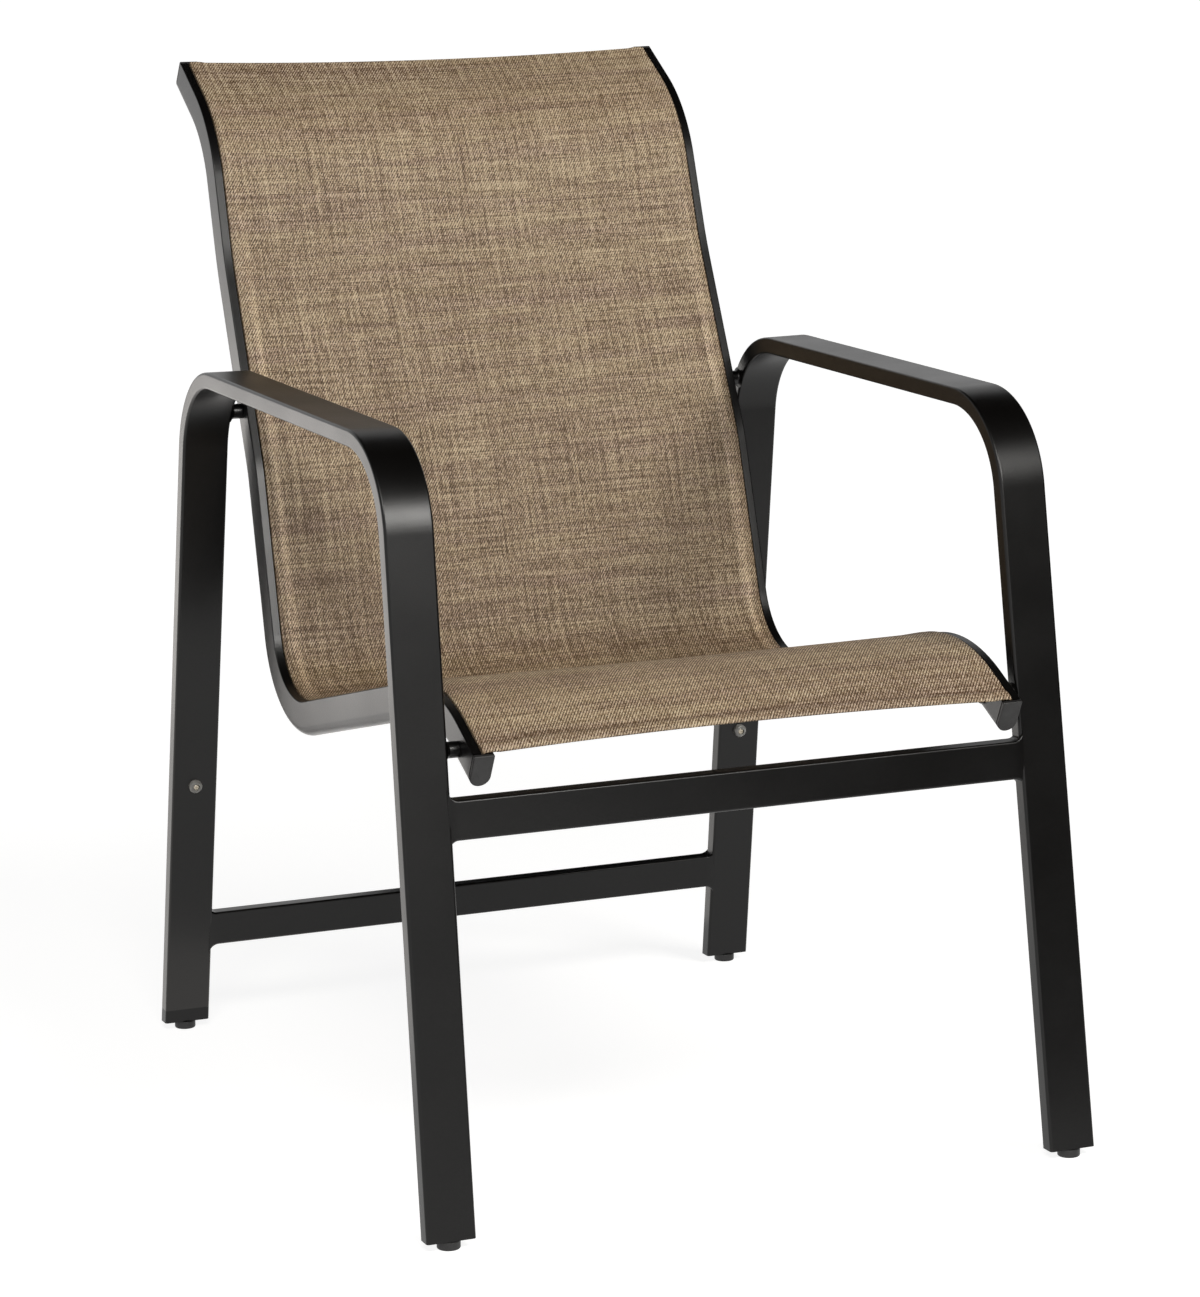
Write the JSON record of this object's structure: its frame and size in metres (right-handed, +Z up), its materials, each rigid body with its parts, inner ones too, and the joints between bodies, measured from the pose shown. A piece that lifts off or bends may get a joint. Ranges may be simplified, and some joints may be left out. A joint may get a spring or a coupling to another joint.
{
  "type": "sling patio chair",
  "caption": "Stacking patio armchair: bent flat-tube side frames, welded stretchers, and bolted rails that hold a tight woven mesh sling seat and back.",
  "frame": {"origin": "on the floor under the middle of the chair's bounding box", "axes": "+Z up, the sitter looks along -Y, +X to the right as seen from in front of the chair"},
  "size_m": [0.6282, 0.8112, 0.9285],
  "materials": {
    "powder_coat": "satin dark bronze powder coat",
    "black_nylon": "moulded matte black nylon",
    "sling_mesh": "woven vinyl-coated mesh, taupe and tan with slubs",
    "clear_vinyl": "clear soft vinyl",
    "plated_steel": "plated steel fastener",
    "spline_plastic": "extruded plastic rod"
  },
  "bodies": {
    "root": {"side_frame_left": "powder_coat", "side_frame_right": "powder_coat", "front_stretcher": "powder_coat", "rear_stretcher": "powder_coat", "front_boss_left": "powder_coat", "front_boss_right": "powder_coat", "rear_boss_left": "powder_coat", "rear_boss_right": "powder_coat", "sling_rail_left": "powder_coat", "sling_rail_right": "powder_coat", "seat_spreader_bar": "powder_coat", "back_spreader_bar": "powder_coat", "front_rail_bolt_left": "plated_steel", "front_rail_bolt_right": "plated_steel", "rear_rail_bolt_left": "plated_steel", "rear_rail_bolt_right": "plated_steel", "bumper_screw_left": "plated_steel", "bumper_screw_right": "plated_steel", "front_rail_cap_left": "black_nylon", "front_rail_cap_right": "black_nylon", "top_rail_cap_left": "black_nylon", "top_rail_cap_right": "black_nylon", "seat_spreader_plug_left": "black_nylon", "seat_spreader_plug_right": "black_nylon", "back_spreader_plug_left": "black_nylon", "back_spreader_plug_right": "black_nylon", "front_leg_plug_left": "black_nylon", "front_leg_plug_right": "black_nylon", "rear_leg_plug_left": "black_nylon", "rear_leg_plug_right": "black_nylon", "front_glide_left": "black_nylon", "front_glide_right": "black_nylon", "rear_glide_left": "black_nylon", "rear_glide_right": "black_nylon", "stack_bumper_left": "clear_vinyl", "stack_bumper_right": "clear_vinyl", "sling_spline_left": "spline_plastic", "sling_spline_right": "spline_plastic", "sling": "sling_mesh"}
  },
  "joints": []
}
